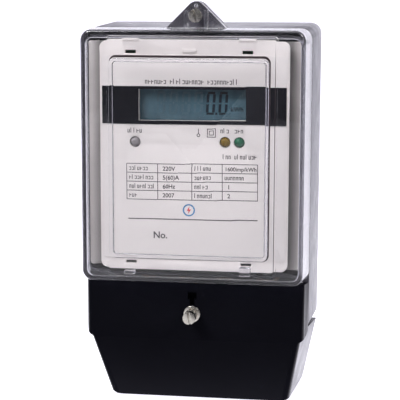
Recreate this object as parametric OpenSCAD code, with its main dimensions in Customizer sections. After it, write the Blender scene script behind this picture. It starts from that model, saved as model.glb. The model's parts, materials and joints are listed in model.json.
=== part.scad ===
// Wall-mounted electronic single-phase kilowatt-hour meter.
// A black base carries the electronics under a clear cover, and the terminals under a black cover.
// Origin: centre of the base's back face, on the wall. +X right, +Y into the wall, +Z up, millimetres.
// "Depth" below always means the distance in front of the wall, so it runs along -Y.

/* [Base] */
// Width of the base at the wall
base_w = 112.8; // [111:0.1:116]
// Height of the base at the wall
base_h = 154.7; // [154:0.1:158]
// Depth of the seam between base and covers
seam_depth = 53.9; // [53.5:0.1:56]
// Width of the base at the seam
seam_w = 110.8; // [109.5:0.1:111.5]
// Thickness of the base's back wall
back_wall = 3.5; // [3:0.1:4]
// Radius of the base's corners
case_corner = 5.5; // [4:0.5:6]

/* [Clear cover] */
// Depth of the clear cover's front face
cover_depth = 72.8; // [72:0.1:74]
// Width of the clear cover's front face
cover_w = 107.2; // [105.5:0.1:108.5]
// Width of the raised window
window_w = 76; // [70:0.5:77]
// Height of the raised window's top edge
window_top = 61.6; // [61.5:0.1:62.5]
// Height of the raised window's bottom edge
window_bottom = -33.6; // [-35:0.1:-32]
// How far the window stands in front of the cover's face
window_rise = 3.2; // [2.5:0.1:4]

/* [Top lug] */
// Height of the lug's rounded tip
lug_top = 88.25; // [87:0.25:90]
// Radius of the lug's tip
lug_tip_r = 4.5; // [4:0.1:5]
// Thickness of the lug on the base
lug_t = 7.6; // [6:0.1:8]
// Height of the cover screw
cover_screw_z = 81.4; // [81:0.1:82]

/* [Terminal cover] */
// Depth of the terminal cover's front face
terminal_cover_depth = 61.2; // [60:0.1:62]
// Width of the terminal cover's front face
terminal_cover_w = 107.8; // [107:0.1:108.4]
// Height of the fold where the skirt starts to slope back
fold_z = -76.6; // [-78:0.1:-76]
// Height of the skirt's bottom edge
skirt_bottom = -111.8; // [-114:0.1:-110]
// Width of the skirt's front just above its rounded bottom corners
skirt_bottom_w = 92.2; // [90:0.1:94]
// Depth of the skirt's front at its bottom edge
skirt_bottom_depth = 42; // [40:0.5:46]
// Wall thickness of the terminal cover
skirt_wall = 2.4; // [2:0.1:3]

/* [Panel and display] */
// Width of the grey front panel
panel_w = 90.4; // [89.6:0.2:92]
// Height of the panel's top edge
panel_top = 69.8; // [69:0.1:69.9]
// Height of the panel's bottom edge
panel_bottom = -40.8; // [-41:0.1:-40]
// Depth of the panel's front face
panel_depth = 64.2; // [63.5:0.1:65]
// Width of the opening over the display
display_w = 51.7; // [50:0.1:53]
// Height of the opening over the display
display_h = 15; // [14:0.1:16]
// Diameter of the indicator lamps
led_d = 5; // [4.8:0.1:5]

/* [Terminals] */
// Distance between neighbouring terminals
terminal_pitch = 20; // [20:0.1:20.5]
// Diameter of each cable bore
wire_bore_d = 8; // [6:0.5:8.5]
// Travel of a clamping screw
clamp_travel = 4.5; // [3:0.1:4.5]

/* [Hidden] */
$fn = 48;
hull_fn = 32;    // facets of the rounded corners inside a hull
skin = 0.1;      // thickness of the slices that a hull joins
cut = 1;         // how far a cutting shape runs past the face it opens
body_gap = 0.3;  // space between pieces that move apart
shaft_gap = 0.05; // radial running clearance of a screw in its hole

// Base
base_top = base_h / 2;
seam_top = base_top - 1.75;
seam_bottom = -base_top + 5;
side_wall = 2.7;
chamber_w = seam_w - 2 * side_wall;
chamber_top = seam_top - side_wall;
partition_top = -44;
partition_bottom = -47;
floor_t = 2.6;
post_x = 38;
post_top_z = 62;
post_bottom_z = -34;
post_r = 3.5;
fixing_x = 47.6;
fixing_z = -60;
fixing_hole_r = 2.5;
keyhole_z = 64;
keyhole_entry_r = 4.6;
keyhole_slot_r = 2.3;
keyhole_travel = 7;
lug_centre_z = lug_top - lug_tip_r;
lug_root_z = 74;
seal_hole_z = 86;

// Clear cover
cover_bottom = partition_bottom;
cover_back = seam_depth + 1;
cover_wall = 2.2;
cover_top_extra = 1.6;   // the top wall is thicker than the others
cover_front_bottom = cover_bottom + 1.1;
cover_front_top = seam_top - 0.65;
cover_screw_r = 1.5;
cover_tab_front = 58.4;
cover_edge = 1.6;        // bevel round the front face
window_x = -1.2;         // the window sits a little to the left
window_wall = 1.5;       // thickness of the window's sides
window_corner = 2.6;
recess_corner = 0.6;     // corners of the recess behind the window
pad_half = 40.6;         // low pad that surrounds the window
pad_bottom = -43;
pad_top = 72;
pad_rise = 0.6;
screw_rib_front = 62;
hook_half = 2.7;
hook_back = 66;

// Terminal cover
terminal_screw_x = -1.2;
terminal_screw_z = -63.5;
terminal_cover_top = cover_bottom - 0.4;
tray_flare = 1.4;       // how much wider each side is at the seam than at the front
skirt_top_w = 103.8;
skirt_flare = 4.5;
skirt_bottom_flare = 3.6;
skirt_corner_h = 3.2;   // height of the rounded bottom corners
skirt_corner_w = 3.6;   // width of the rounded bottom corners
skirt_lean = 1.6;       // how far the front comes forward over that height
skirt_front = terminal_cover_depth - skin;
skirt_back = 3;

// Board and panel
board_back = 50;
board_front = 51.6;
display_x = -0.65;
display_z = 39.25;
led_z = 21.4;
pulse_x = -28.4;
reverse_x = 15.2;
power_x = 22;
clip_x = [-30.6, 25.6];
clip_slot_w = 5.2;
clip_slot_top_z = 63.4;
clip_slot_bottom_z = -38;
clip_tab_half = 4;
flange_half = seam_w / 2 - cover_wall - 0.8;
flange_back = 55.2;
flange_t = 1.6;
name_depth = panel_depth + 0.4;
holder_half_w = 31.5;
holder_half_h = 11.6;
glass_half_w = 28.8;
lcd_back = 57.8;        // back of the rear glass
glass_t = 1.1;

// Terminals
block_w = 84;
block_depth = 46;
block_top = -50.4;
block_bottom = -73;
terminal_x = [for (i = [-1.5:1:1.5]) i * terminal_pitch];
terminal_w = 13;
terminal_top = -52;
terminal_bottom = -72.5;
terminal_back = 20;
terminal_front = 38;
bore_depth = 27;
clamp_z = -60;
clamp_r = 2.95;
block_screw_x = 20;
block_screw_z = -61;
link_back = 20.4;
link_front = 22;
pad_back = bore_depth + wire_bore_d / 2 + body_gap;
pad_t = 1.3;

// ---- Drawing helpers ----

// A flat sketch in X and Z, thickened from depth d0 to depth d1
module plate(d0, d1) {
    translate([0, -d0, 0]) rotate([90, 0, 0]) linear_extrude(height = d1 - d0) children();
}

// A round bar along the depth direction
module bar(x, z, r, d0, d1) {
    translate([x, -d0, z]) rotate([90, 0, 0]) cylinder(r = r, h = d1 - d0);
}

// A block given by its limits in X, depth and Z
module block(x0, x1, d0, d1, z0, z1) {
    translate([x0, -d1, z0]) cube([x1 - x0, d1 - d0, z1 - z0]);
}

module rounded_rect(x0, x1, z0, z1, r) {
    translate([x0 + r, z0]) square([x1 - x0 - 2 * r, z1 - z0]);
    translate([x0, z0 + r]) square([x1 - x0, z1 - z0 - 2 * r]);
    for (x = [x0 + r, x1 - r], z = [z0 + r, z1 - r]) translate([x, z]) circle(r);
}

// A thin slice of a case, centred on X, that a hull stretches into a drafted shell
module case_slice(d, w, z0, z1, r) {
    plate(d, d + skin) rounded_rect(-w / 2, w / 2, z0, z1, r, $fn = hull_fn);
}

module lug_outline() {
    tangent = lug_tip_r * cos(45);
    root = tangent + lug_centre_z + tangent - lug_root_z;
    translate([0, lug_centre_z]) circle(lug_tip_r);
    polygon([
        [-root, lug_root_z], [root, lug_root_z],
        [tangent, lug_centre_z + tangent], [-tangent, lug_centre_z + tangent]
    ]);
}

// A screwdriver slot across the front end of a screw
module driver_slot(x, z, length, width, d0, d1, turn) {
    translate([x, 0, z]) rotate([0, turn, 0]) block(-length / 2, length / 2, d0, d1, -width / 2, width / 2);
}

// ---- Base ----

module base_body() {
    hull() {
        case_slice(0, base_w, -base_top, base_top, case_corner);
        case_slice(seam_depth - skin, seam_w, seam_bottom, seam_top, case_corner);
    }
    plate(seam_depth - lug_t, seam_depth - body_gap) lug_outline();
}

module meter_chamber() {
    plate(back_wall, seam_depth + cut)
        rounded_rect(-chamber_w / 2, chamber_w / 2, partition_top, chamber_top, 3);
}

// The lower chamber's floor follows the slope of the base's underside
module terminal_chamber() {
    slope = (seam_bottom + base_top) / seam_depth;
    back_z = -base_top + floor_t + slope * back_wall;
    front_z = -base_top + floor_t + slope * (seam_depth + cut);
    translate([-chamber_w / 2, 0, 0]) rotate([90, 0, 90]) linear_extrude(height = chamber_w) polygon([
        [-back_wall, partition_bottom], [-back_wall, back_z],
        [-seam_depth - cut, front_z], [-seam_depth - cut, partition_bottom]
    ]);
}

// Recessed panels in the back face, which leave a rim and stiffening ribs
module back_pockets() {
    pocket = 1.4;
    for (x = [-50, 1.5]) {
        block(x, x + 48.5, -cut, pocket, -38, 8);
        block(x, x + 48.5, -cut, pocket, 11, 50);
    }
    for (x = [-50, 12]) block(x, x + 38, -cut, pocket, 53, 71);
}

module keyhole() {
    lip = 2.6;
    pocket_end = 8;
    bar(0, keyhole_z, keyhole_entry_r, -cut, pocket_end);
    bar(0, keyhole_z + keyhole_travel, keyhole_slot_r, -cut, lip + 0.1);
    block(-keyhole_slot_r, keyhole_slot_r, -cut, lip + 0.1, keyhole_z, keyhole_z + keyhole_travel);
    bar(0, keyhole_z + keyhole_travel, keyhole_entry_r, lip, pocket_end);
    block(-keyhole_entry_r, keyhole_entry_r, lip, pocket_end, keyhole_z, keyhole_z + keyhole_travel);
}

module base() {
    color([0.12, 0.11, 0.13]) difference() {
        union() {
            difference() {
                base_body();
                meter_chamber();
                terminal_chamber();
            }
            block(-7, 7, back_wall - 0.1, 10, 57, chamber_top + 0.1);
            for (x = [-post_x, post_x], z = [post_bottom_z, post_top_z])
                bar(x, z, post_r, back_wall - 0.1, board_back);
            for (x = [-fixing_x, fixing_x]) bar(x, fixing_z, 4.1, back_wall - 0.1, 6);
            for (x = [-block_screw_x, block_screw_x]) bar(x, block_screw_z, 3.6, back_wall - 0.1, 10);
        }
        keyhole();
        back_pockets();
        block(-43, 43, back_wall, seam_depth + cut, -base_top - cut, -68);
        block(-36, 36, 17, 25, partition_bottom - cut, partition_top + cut);
        for (x = [-post_x, post_x], z = [post_bottom_z, post_top_z])
            bar(x, z, 1.45, 38, board_back + cut);
        for (x = [-fixing_x, fixing_x]) bar(x, fixing_z, fixing_hole_r, -cut, 6 + cut);
        for (x = [-block_screw_x, block_screw_x]) bar(x, block_screw_z, 1.55, back_wall, 10 + cut);
        bar(0, cover_screw_z, 2.4, seam_depth - lug_t - cut, seam_depth);
        bar(0, seal_hole_z, 0.9, seam_depth - lug_t - cut, seam_depth);
    }
}

// Threaded brass bush, drawn as a plain sleeve that the screw runs in
module threaded_insert(x, z, d0, d1) {
    color([0.78, 0.62, 0.3]) difference() {
        bar(x, z, 2.4, d0, d1);
        bar(x, z, cover_screw_r + shaft_gap, d0 - cut, d1 + cut);
    }
}

module cover_insert() {
    threaded_insert(0, cover_screw_z, seam_depth - lug_t, seam_depth - body_gap);
}

module cover_gasket() {
    gasket_t = 0.7;
    inset = 0.5;
    width = 1.7;
    half = seam_w / 2 - inset;
    bottom = cover_bottom + inset;
    top = seam_top - inset;
    corner = case_corner - inset;
    color([0.16, 0.15, 0.16]) plate(seam_depth, seam_depth + gasket_t) difference() {
        rounded_rect(-half, half, bottom, top, corner);
        rounded_rect(-half + width, half - width, bottom + width, top - width, corner - width);
    }
}

// ---- Clear cover ----

module cover_shell_outside() {
    edge = cover_edge;
    bottom = cover_front_bottom;
    top = cover_front_top;
    hull() {
        case_slice(cover_back, seam_w - 0.1, cover_bottom, seam_top, case_corner);
        case_slice(cover_depth - edge, cover_w, bottom, top, 5);
        case_slice(cover_depth - skin, cover_w - 2 * edge, bottom + edge, top - edge, 4);
    }
}

module cover_shell_inside() {
    t = cover_wall;
    top_t = t + cover_top_extra;
    hull() {
        case_slice(cover_back - skin, seam_w - 2 * t, cover_bottom + t, seam_top - top_t, 3.5);
        case_slice(cover_depth - t - skin, cover_w - 2 * t,
            cover_front_bottom + t, cover_front_top - top_t, 3);
    }
}

module raised_window(inset, corner, d0, d1) {
    half = window_w / 2 - inset;
    plate(d0, d1) rounded_rect(window_x - half, window_x + half,
        window_bottom + inset, window_top - inset, corner);
}

module clear_cover() {
    inner_face = cover_depth - cover_wall;
    window_face = cover_depth + window_rise;
    color([0.75, 0.76, 0.8, 0.35]) difference() {
        union() {
            difference() {
                union() {
                    cover_shell_outside();
                    plate(inner_face, cover_depth + pad_rise)
                        rounded_rect(-pad_half, pad_half, pad_bottom, pad_top, 1);
                    raised_window(0, window_corner, inner_face, window_face);
                }
                cover_shell_inside();
                raised_window(window_wall, recess_corner, inner_face - cut, window_face - 2);
            }
            plate(cover_back, cover_tab_front) difference() {
                lug_outline();
                translate([-seam_w, -seam_w + seam_top - 1]) square([2 * seam_w, seam_w]);
            }
            for (x = [-4.5, 5.1])
                block(x - 1, x + 1, cover_tab_front - 0.1, screw_rib_front, seam_top - 1, 84);
            block(clip_x[0] - hook_half, clip_x[0] + hook_half, hook_back, cover_depth - 1, -42.6, -40.6);
            block(clip_x[1] - hook_half, clip_x[1] + hook_half, hook_back, cover_depth - 1, -42, -37.6);
        }
        bar(0, cover_screw_z, 1.8, cover_back - cut, cover_tab_front + cut);
        bar(0, seal_hole_z, 0.9, cover_back - cut, cover_tab_front + cut);
    }
}

module cover_screw_washer() {
    color([0.8, 0.78, 0.75]) difference() {
        bar(0, cover_screw_z, 3.1, cover_tab_front + 0.1, cover_tab_front + 0.7);
        bar(0, cover_screw_z, cover_screw_r + shaft_gap, cover_tab_front, cover_tab_front + cut);
    }
}

module cover_screw() {
    head_back = cover_tab_front + 0.8;
    head_front = head_back + 2.6;
    color([0.82, 0.8, 0.77]) difference() {
        union() {
            bar(0, cover_screw_z, cover_screw_r, 48, head_back + 0.1);
            bar(0, cover_screw_z, 3.2, head_back, head_front);
        }
        driver_slot(0, cover_screw_z, 8, 0.9, head_front - 1.3, head_front + cut, 75);
    }
}

// ---- Terminal cover ----

// Upper part: a tray over the terminals that closes on the base's seam
module terminal_tray(inset, z0, z1) {
    half = terminal_cover_w / 2 - inset;
    corner = 2.6 - inset / 2;
    front = terminal_cover_depth - inset;
    back = seam_depth + body_gap;
    translate([0, 0, z0]) linear_extrude(height = z1 - z0) {
        polygon([
            [-half, -front + corner], [-half - tray_flare, -back],
            [half + tray_flare, -back], [half, -front + corner]
        ]);
        translate([-half + corner, -front]) square([2 * half - 2 * corner, 2 * corner]);
        for (x = [-half + corner, half - corner]) translate([x, -front + corner]) circle(corner);
    }
}

// A level slice of the skirt: narrower at the front, where its corners are round, than at the wall
module skirt_slice(z, w, flare, front, back, r) {
    translate([0, 0, z]) linear_extrude(height = skin) {
        for (x = [-w / 2 + r, w / 2 - r]) translate([x, -front + r]) circle(r, $fn = hull_fn);
        translate([-w / 2 - flare, -back - skin]) square([w + 2 * flare, skin]);
    }
}

module skirt_outside() {
    r = 3;
    hull() {
        skirt_slice(seam_bottom + 1, skirt_top_w + 1.6, skirt_flare, skirt_front, skirt_back, r);
        skirt_slice(fold_z, skirt_top_w, skirt_flare, skirt_front, skirt_back, r);
        for (turn = [0:30:90]) {
            z = skirt_bottom + skirt_corner_h * (1 - sin(turn));
            w = skirt_bottom_w - 2 * skirt_corner_w * (1 - cos(turn));
            front = skirt_bottom_depth + skirt_lean * cos(turn);
            skirt_slice(z, w, skirt_bottom_flare, front, skirt_back, r);
        }
    }
}

// The room inside the skirt, open at the wall and at the bottom
module skirt_inside() {
    t = 2 * skirt_wall;
    r = 1.5;
    top_front = skirt_front - skirt_wall;
    bottom_front = skirt_bottom_depth - skirt_wall;
    hull() {
        skirt_slice(seam_bottom + 1, skirt_top_w + 1.6 - t, skirt_flare, top_front, -cut, r);
        skirt_slice(fold_z, skirt_top_w - t, skirt_flare, top_front, -cut, r);
        skirt_slice(skirt_bottom + skirt_corner_h, skirt_bottom_w - t, skirt_bottom_flare,
            bottom_front + skirt_lean, -cut, r);
        skirt_slice(skirt_bottom - cut, skirt_bottom_w - 2 * skirt_corner_w - t, skirt_bottom_flare,
            bottom_front - cut, -cut, r);
    }
}

// The space behind the seam that the base itself fills
module base_space() {
    top = -30;
    back_z = -base_top - body_gap;
    front_z = seam_bottom - body_gap;
    edge = seam_depth + body_gap;
    translate([-base_w, 0, 0]) rotate([90, 0, 90]) linear_extrude(height = 2 * base_w) polygon([
        [cut, back_z], [-edge, front_z], [-edge, top], [cut, top]
    ]);
}

module terminal_cover() {
    half = terminal_cover_w / 2 + tray_flare;
    step_corner = 6;
    face = terminal_cover_depth;
    recess_back = face - 4;
    color([0.1, 0.1, 0.12]) difference() {
        union() {
            difference() {
                union() {
                    intersection() {
                        terminal_tray(0, fold_z, terminal_cover_top);
                        plate(seam_depth, face) rounded_rect(-half, half,
                            fold_z, terminal_cover_top + step_corner, step_corner);
                    }
                    difference() {
                        skirt_outside();
                        base_space();
                    }
                }
                terminal_tray(skirt_wall, seam_bottom, terminal_cover_top - skirt_wall);
                skirt_inside();
            }
            bar(terminal_screw_x, terminal_screw_z, 3.8, block_depth + 0.4, face - 1);
            block(terminal_screw_x - 3.8, terminal_screw_x + 3.8, face - 6, face - 1, -61, -51);
        }
        bar(terminal_screw_x, terminal_screw_z, 1.75, block_depth - cut, face + cut);
        block(terminal_screw_x - 2.2, terminal_screw_x + 2.2, recess_back, face + cut, -56.4, -52.8);
        block(terminal_screw_x - 1.2, terminal_screw_x + 1.2, recess_back, face + cut, -59.3, -56.3);
    }
}

module terminal_cover_washer() {
    back = terminal_cover_depth + 0.1;
    front = back + 1.2;
    color([0.8, 0.78, 0.75]) difference() {
        bar(terminal_screw_x, terminal_screw_z, 4.1, back, front);
        bar(terminal_screw_x, terminal_screw_z, cover_screw_r + shaft_gap, back - cut, front + cut);
    }
}

// Tall sealing screw: the head is cross-drilled for a sealing wire
module terminal_cover_screw() {
    neck_back = terminal_cover_depth + 1.4;
    head_back = neck_back + 2.2;
    head_front = head_back + 6.6;
    color([0.82, 0.8, 0.77]) difference() {
        union() {
            bar(terminal_screw_x, terminal_screw_z, cover_screw_r, 41, neck_back + 0.1);
            bar(terminal_screw_x, terminal_screw_z, 2.3, neck_back, head_back + 0.1);
            bar(terminal_screw_x, terminal_screw_z, 3.05, head_back, head_front);
        }
        driver_slot(terminal_screw_x, terminal_screw_z, 8, 0.9, head_front - 1.6, head_front + cut, 80);
        translate([terminal_screw_x, -head_back - 1.6, terminal_screw_z]) rotate([0, 40, 0])
            cylinder(r = 0.8, h = 10, center = true);
    }
}

module terminal_cover_insert() {
    threaded_insert(terminal_screw_x, terminal_screw_z, terminal_front + 0.3, block_depth);
}

// ---- Panel, nameplate and display ----

module display_opening() {
    translate([display_x - display_w / 2, display_z - display_h / 2]) square([display_w, display_h]);
}

module led_openings() {
    for (x = [pulse_x, reverse_x, power_x]) translate([x, led_z]) circle(led_d / 2 + 0.15);
}

// A front sheet with a narrower skirt behind it, which stands on the board, and a flange on each side
module front_panel() {
    half = panel_w / 2;
    inset = 1;
    wall = 1.1;
    sheet_t = 2;
    color([0.88, 0.85, 0.85]) {
        difference() {
            union() {
                plate(panel_depth - sheet_t, panel_depth)
                    rounded_rect(-half, half, panel_bottom, panel_top, 3.7);
                plate(board_front, panel_depth - sheet_t / 2) panel_skirt(inset, 2.4);
                plate(flange_back, flange_back + flange_t)
                    rounded_rect(-flange_half, flange_half, panel_bottom, panel_top, 1.5);
            }
            plate(board_front - cut, panel_depth - sheet_t) panel_skirt(inset + wall, 1);
            plate(board_front - cut, panel_depth + cut) {
                display_opening();
                led_openings();
                for (x = clip_x) {
                    translate([x - clip_slot_w / 2, clip_slot_top_z]) square([clip_slot_w, 1.6]);
                    translate([x - clip_slot_w / 2, clip_slot_bottom_z]) square([clip_slot_w, 1.4]);
                }
            }
        }
        for (x = clip_x)
            block(x - clip_tab_half, x + clip_tab_half, panel_depth - sheet_t, panel_depth + 0.4,
                panel_top - 0.5, panel_top + 1.2);
        block(-5.4, 1.1, panel_depth - 0.1, panel_depth + 0.7, 64, 65.6);
    }
}

module panel_skirt(inset, r) {
    half = panel_w / 2 - inset;
    rounded_rect(-half, half, panel_bottom + inset, panel_top - inset, r);
}

module nameplate() {
    half = 44.2;
    color([0.9, 0.88, 0.88]) plate(panel_depth, name_depth) difference() {
        rounded_rect(-half, half, -35.6, 62.9, 1.5);
        display_opening();
        led_openings();
    }
}

module display_bezel() {
    half = 44;
    color([0.1, 0.1, 0.12]) plate(name_depth, name_depth + 0.3) difference() {
        rounded_rect(-half, half, 30, 48.1, 0.4);
        display_opening();
    }
}

// Frame behind the panel that carries the display, with a slot in each side for its board clips
module lcd_holder() {
    w = holder_half_w;
    h = holder_half_h;
    color([0.14, 0.14, 0.15]) difference() {
        block(display_x - w, display_x + w, board_front, panel_depth - 2, display_z - h, display_z + h);
        block(display_x - w + 2.5, display_x + w - 2.5, board_front - cut, lcd_back + 2 * glass_t + 0.1,
            display_z - h + 1.6, display_z + h - 1.6);
        plate(lcd_back + 2 * glass_t, panel_depth) display_opening();
        for (x = [display_x - w + 1.2, display_x + w - 1.2])
            block(x - 0.6, x + 0.6, board_front - cut, board_front + 3.9, display_z - 3, display_z + 3);
    }
}

module lcd_front_glass() {
    w = glass_half_w;
    back = lcd_back + glass_t;
    color([0.3, 0.4, 0.44, 0.6])
        block(display_x - w, display_x + w, back, back + glass_t, display_z - 8.8, display_z + 8.8);
}

module lcd_rear_glass() {
    w = glass_half_w;
    color([0.3, 0.4, 0.44, 0.6])
        block(display_x - w, display_x + w, lcd_back, lcd_back + glass_t, display_z - 9.9, display_z + 9.9);
}

module lcd_reflector() {
    w = glass_half_w - 0.2;
    color([0.5, 0.56, 0.58])
        block(display_x - w, display_x + w, lcd_back - 0.3, lcd_back, display_z - 7.4, display_z + 7.4);
}

module contact_strips() {
    color([0.85, 0.6, 0.65]) for (z = [display_z - 9.8, display_z + 7.8])
        block(display_x - 28, display_x + 28, board_front, lcd_back, z, z + 2);
}

// Indicator lamp: domed body, flange and two legs that reach the board
module led(x) {
    flange = 56.5;
    tip_centre = 63.1;
    leg = 0.3;
    bar(x, led_z, led_d / 2, flange - 0.1, tip_centre);
    translate([x, -tip_centre, led_z]) sphere(r = led_d / 2);
    bar(x, led_z, led_d / 2 + 0.4, flange - 1, flange);
    for (side = [-1.27, 1.27])
        block(x + side - leg, x + side + leg, board_front, flange - 0.9, led_z - leg, led_z + leg);
}

module pulse_led() {
    color([0.55, 0.52, 0.5, 0.7]) led(pulse_x);
}

module reverse_led() {
    color([0.75, 0.6, 0.2, 0.9]) led(reverse_x);
}

module power_led() {
    color([0.3, 0.55, 0.4, 0.9]) led(power_x);
}

// ---- Main board ----

module main_board() {
    half = 44.9;
    color([0.1, 0.35, 0.2]) plate(board_back, board_front) difference() {
        translate([-half, panel_bottom + 0.5]) square([2 * half, panel_top - panel_bottom - 1]);
        for (x = [-post_x, post_x], z = [post_bottom_z, post_top_z]) translate([x, z]) circle(1.7);
    }
}

module board_screws() {
    color([0.75, 0.75, 0.77]) for (x = [-post_x, post_x], z = [post_bottom_z, post_top_z]) difference() {
        union() {
            bar(x, z, 1.4, 40, board_front + 0.1);
            bar(x, z, 2.8, board_front, board_front + 1.9);
        }
        driver_slot(x, z, 3.4, 0.8, board_front + 0.9, board_front + 3, 0);
        driver_slot(x, z, 3.4, 0.8, board_front + 0.9, board_front + 3, 90);
    }
}

// A chip on the back of the board, with rows of legs along its two long sides
module chip(x, z, w, h, t, legs) {
    pitch = w / legs;
    block(x - w / 2, x + w / 2, board_back - t - 0.15, board_back - 0.15, z - h / 2, z + h / 2);
    for (i = [0:legs - 1]) {
        leg_x = x - w / 2 + pitch * (i + 0.5);
        block(leg_x - 0.2, leg_x + 0.2, board_back - 0.5, board_back, z - h / 2 - 1.2, z + h / 2 + 1.2);
    }
}

module metering_chip() {
    color([0.12, 0.12, 0.13]) chip(-18, -2, 15.4, 7.5, 2.3, 12);
}

module microcontroller() {
    color([0.12, 0.12, 0.13]) chip(-14, 26, 14, 10, 1.6, 16);
}

module optocoupler() {
    color([0.12, 0.12, 0.13]) chip(-33, 8, 5, 6.4, 3.4, 2);
}

module crystal() {
    color([0.75, 0.75, 0.77]) {
        for (x = [-36, -29.5]) bar(x, 26, 2.2, board_back - 3.5, board_back);
        block(-36, -29.5, board_back - 3.5, board_back, 23.8, 28.2);
    }
}

module supply_capacitor() {
    color([0.75, 0.65, 0.3]) block(10, 36, 32, board_back, -16, -1);
}

module electrolytic_capacitors() {
    color([0.15, 0.2, 0.35]) {
        bar(27, 18, 5, 34, board_back);
        bar(13, 20, 4, 38, board_back);
    }
}

module varistor() {
    color([0.2, 0.35, 0.6]) {
        translate([-1.8, -43, -24]) rotate([0, 90, 0]) cylinder(r = 6, h = 3.6);
        for (z = [-27, -21]) bar(0, z, 0.4, 46, board_back);
    }
}

module resistors() {
    color([0.75, 0.68, 0.55]) for (i = [0:5]) {
        z = -8 - 3.2 * i;
        translate([-41, -board_back + 1.3, z]) rotate([0, 90, 0]) cylinder(r = 1.15, h = 6.4);
        for (x = [-41.3, -34.9]) block(x, x + 0.6, board_back - 1.6, board_back, z - 0.3, z + 0.3);
    }
}

module wire_header() {
    color([0.9, 0.88, 0.82]) block(-26, -14, 43, board_back, -25, -19);
}

// ---- Current path ----

// Flat strip that joins two terminals: two legs, and a bridge above them
module terminal_link(x0, x1) {
    leg_half = 3.5;
    for (x = [x0, x1]) block(x - leg_half, x + leg_half, link_back, link_front, terminal_top, -27);
    block(x0, x1, link_back, link_front, -34, -28);
}

module current_shunt() {
    color([0.7, 0.45, 0.3]) terminal_link(terminal_x[0], terminal_x[1]);
}

module neutral_link() {
    color([0.7, 0.45, 0.3]) terminal_link(terminal_x[2], terminal_x[3]);
}

// A wire that runs forward, steps up and runs forward again
module stepped_wire(x, z0, z1, d_step, d_end) {
    r = 0.65;
    bar(x, z0, r, link_front, d_step);
    translate([x, -d_step, z0]) sphere(r = r);
    translate([x, -d_step, z0]) cylinder(r = r, h = z1 - z0);
    translate([x, -d_step, z1]) sphere(r = r);
    bar(x, z1, r, d_step, d_end);
}

module sense_wires() {
    color([0.75, 0.15, 0.12]) for (x = [-24, -20, -16]) stepped_wire(x, -31, -22, 34, 43);
}

module voltage_wire() {
    color([0.15, 0.25, 0.6]) stepped_wire(20, -31, -22, 34, board_back);
}

// ---- Terminals ----

module terminal_block() {
    pocket_half = terminal_w / 2 + 0.1;
    color([0.16, 0.15, 0.16]) difference() {
        block(-block_w / 2, block_w / 2, back_wall, block_depth, block_bottom, block_top);
        for (x = terminal_x) {
            block(x - pocket_half, x + pocket_half, terminal_back - 0.1, terminal_front + 0.1,
                block_bottom - cut, terminal_top);
            block(x - 3.7, x + 3.7, terminal_back, link_front + 0.3, terminal_top - cut, block_top + cut);
            bar(x, clamp_z, 3.4, terminal_front, block_depth + cut);
        }
        for (x = [-block_screw_x, block_screw_x]) {
            bar(x, block_screw_z, 3.8, back_wall - cut, 10.2);
            bar(x, block_screw_z, 1.75, 9, 16);
            bar(x, block_screw_z, 3.2, 14, block_depth + cut);
        }
        bar(terminal_screw_x, terminal_screw_z, 2.4, terminal_front + 0.3, block_depth + cut);
    }
}

module terminal_block_screws() {
    color([0.75, 0.75, 0.77]) for (x = [-block_screw_x, block_screw_x]) difference() {
        union() {
            bar(x, block_screw_z, 1.5, 4, 14.1);
            bar(x, block_screw_z, 3, 14, 16.4);
        }
        driver_slot(x, block_screw_z, 7, 0.9, 15.2, 17, 0);
    }
}

// Brass terminal: a cable bore from below, and a threaded hole for the clamping screw
module brass_terminal(x) {
    bore_length = 18;
    color([0.78, 0.62, 0.3]) difference() {
        block(x - terminal_w / 2, x + terminal_w / 2, terminal_back, terminal_front,
            terminal_bottom, terminal_top);
        translate([x, -bore_depth, terminal_bottom - cut]) cylinder(d = wire_bore_d, h = bore_length + cut);
        bar(x, clamp_z, clamp_r + shaft_gap, bore_depth, terminal_front + cut);
    }
}

module line_in_terminal() {
    brass_terminal(terminal_x[0]);
}

module line_out_terminal() {
    brass_terminal(terminal_x[1]);
}

module neutral_in_terminal() {
    brass_terminal(terminal_x[2]);
}

module neutral_out_terminal() {
    brass_terminal(terminal_x[3]);
}

// Pressure pad that the clamping screw pushes against the cable
module clamp_pad(x) {
    color([0.75, 0.75, 0.77]) bar(x, clamp_z, clamp_r, pad_back, pad_back + pad_t);
}

module line_in_pad() {
    clamp_pad(terminal_x[0]);
}

module line_out_pad() {
    clamp_pad(terminal_x[1]);
}

module neutral_in_pad() {
    clamp_pad(terminal_x[2]);
}

module neutral_out_pad() {
    clamp_pad(terminal_x[3]);
}

module clamp_screw(x) {
    back = pad_back + pad_t + 0.2;
    front = 43.5;
    color([0.8, 0.78, 0.75]) difference() {
        bar(x, clamp_z, clamp_r, back, front);
        driver_slot(x, clamp_z, 8, 1, front - 1.8, front + cut, 0);
    }
}

module line_in_screw() {
    clamp_screw(terminal_x[0]);
}

module line_out_screw() {
    clamp_screw(terminal_x[1]);
}

module neutral_in_screw() {
    clamp_screw(terminal_x[2]);
}

module neutral_out_screw() {
    clamp_screw(terminal_x[3]);
}

base();
cover_insert();
cover_gasket();
clear_cover();
cover_screw_washer();
cover_screw();
terminal_cover();
terminal_cover_washer();
terminal_cover_screw();
terminal_cover_insert();
front_panel();
nameplate();
display_bezel();
lcd_holder();
lcd_front_glass();
lcd_rear_glass();
lcd_reflector();
contact_strips();
pulse_led();
reverse_led();
power_led();
main_board();
board_screws();
metering_chip();
microcontroller();
crystal();
optocoupler();
supply_capacitor();
electrolytic_capacitors();
varistor();
resistors();
wire_header();
current_shunt();
neutral_link();
sense_wires();
voltage_wire();
terminal_block();
terminal_block_screws();
line_in_terminal();
line_out_terminal();
neutral_in_terminal();
neutral_out_terminal();
line_in_pad();
line_out_pad();
neutral_in_pad();
neutral_out_pad();
line_in_screw();
line_out_screw();
neutral_in_screw();
neutral_out_screw();
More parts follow.
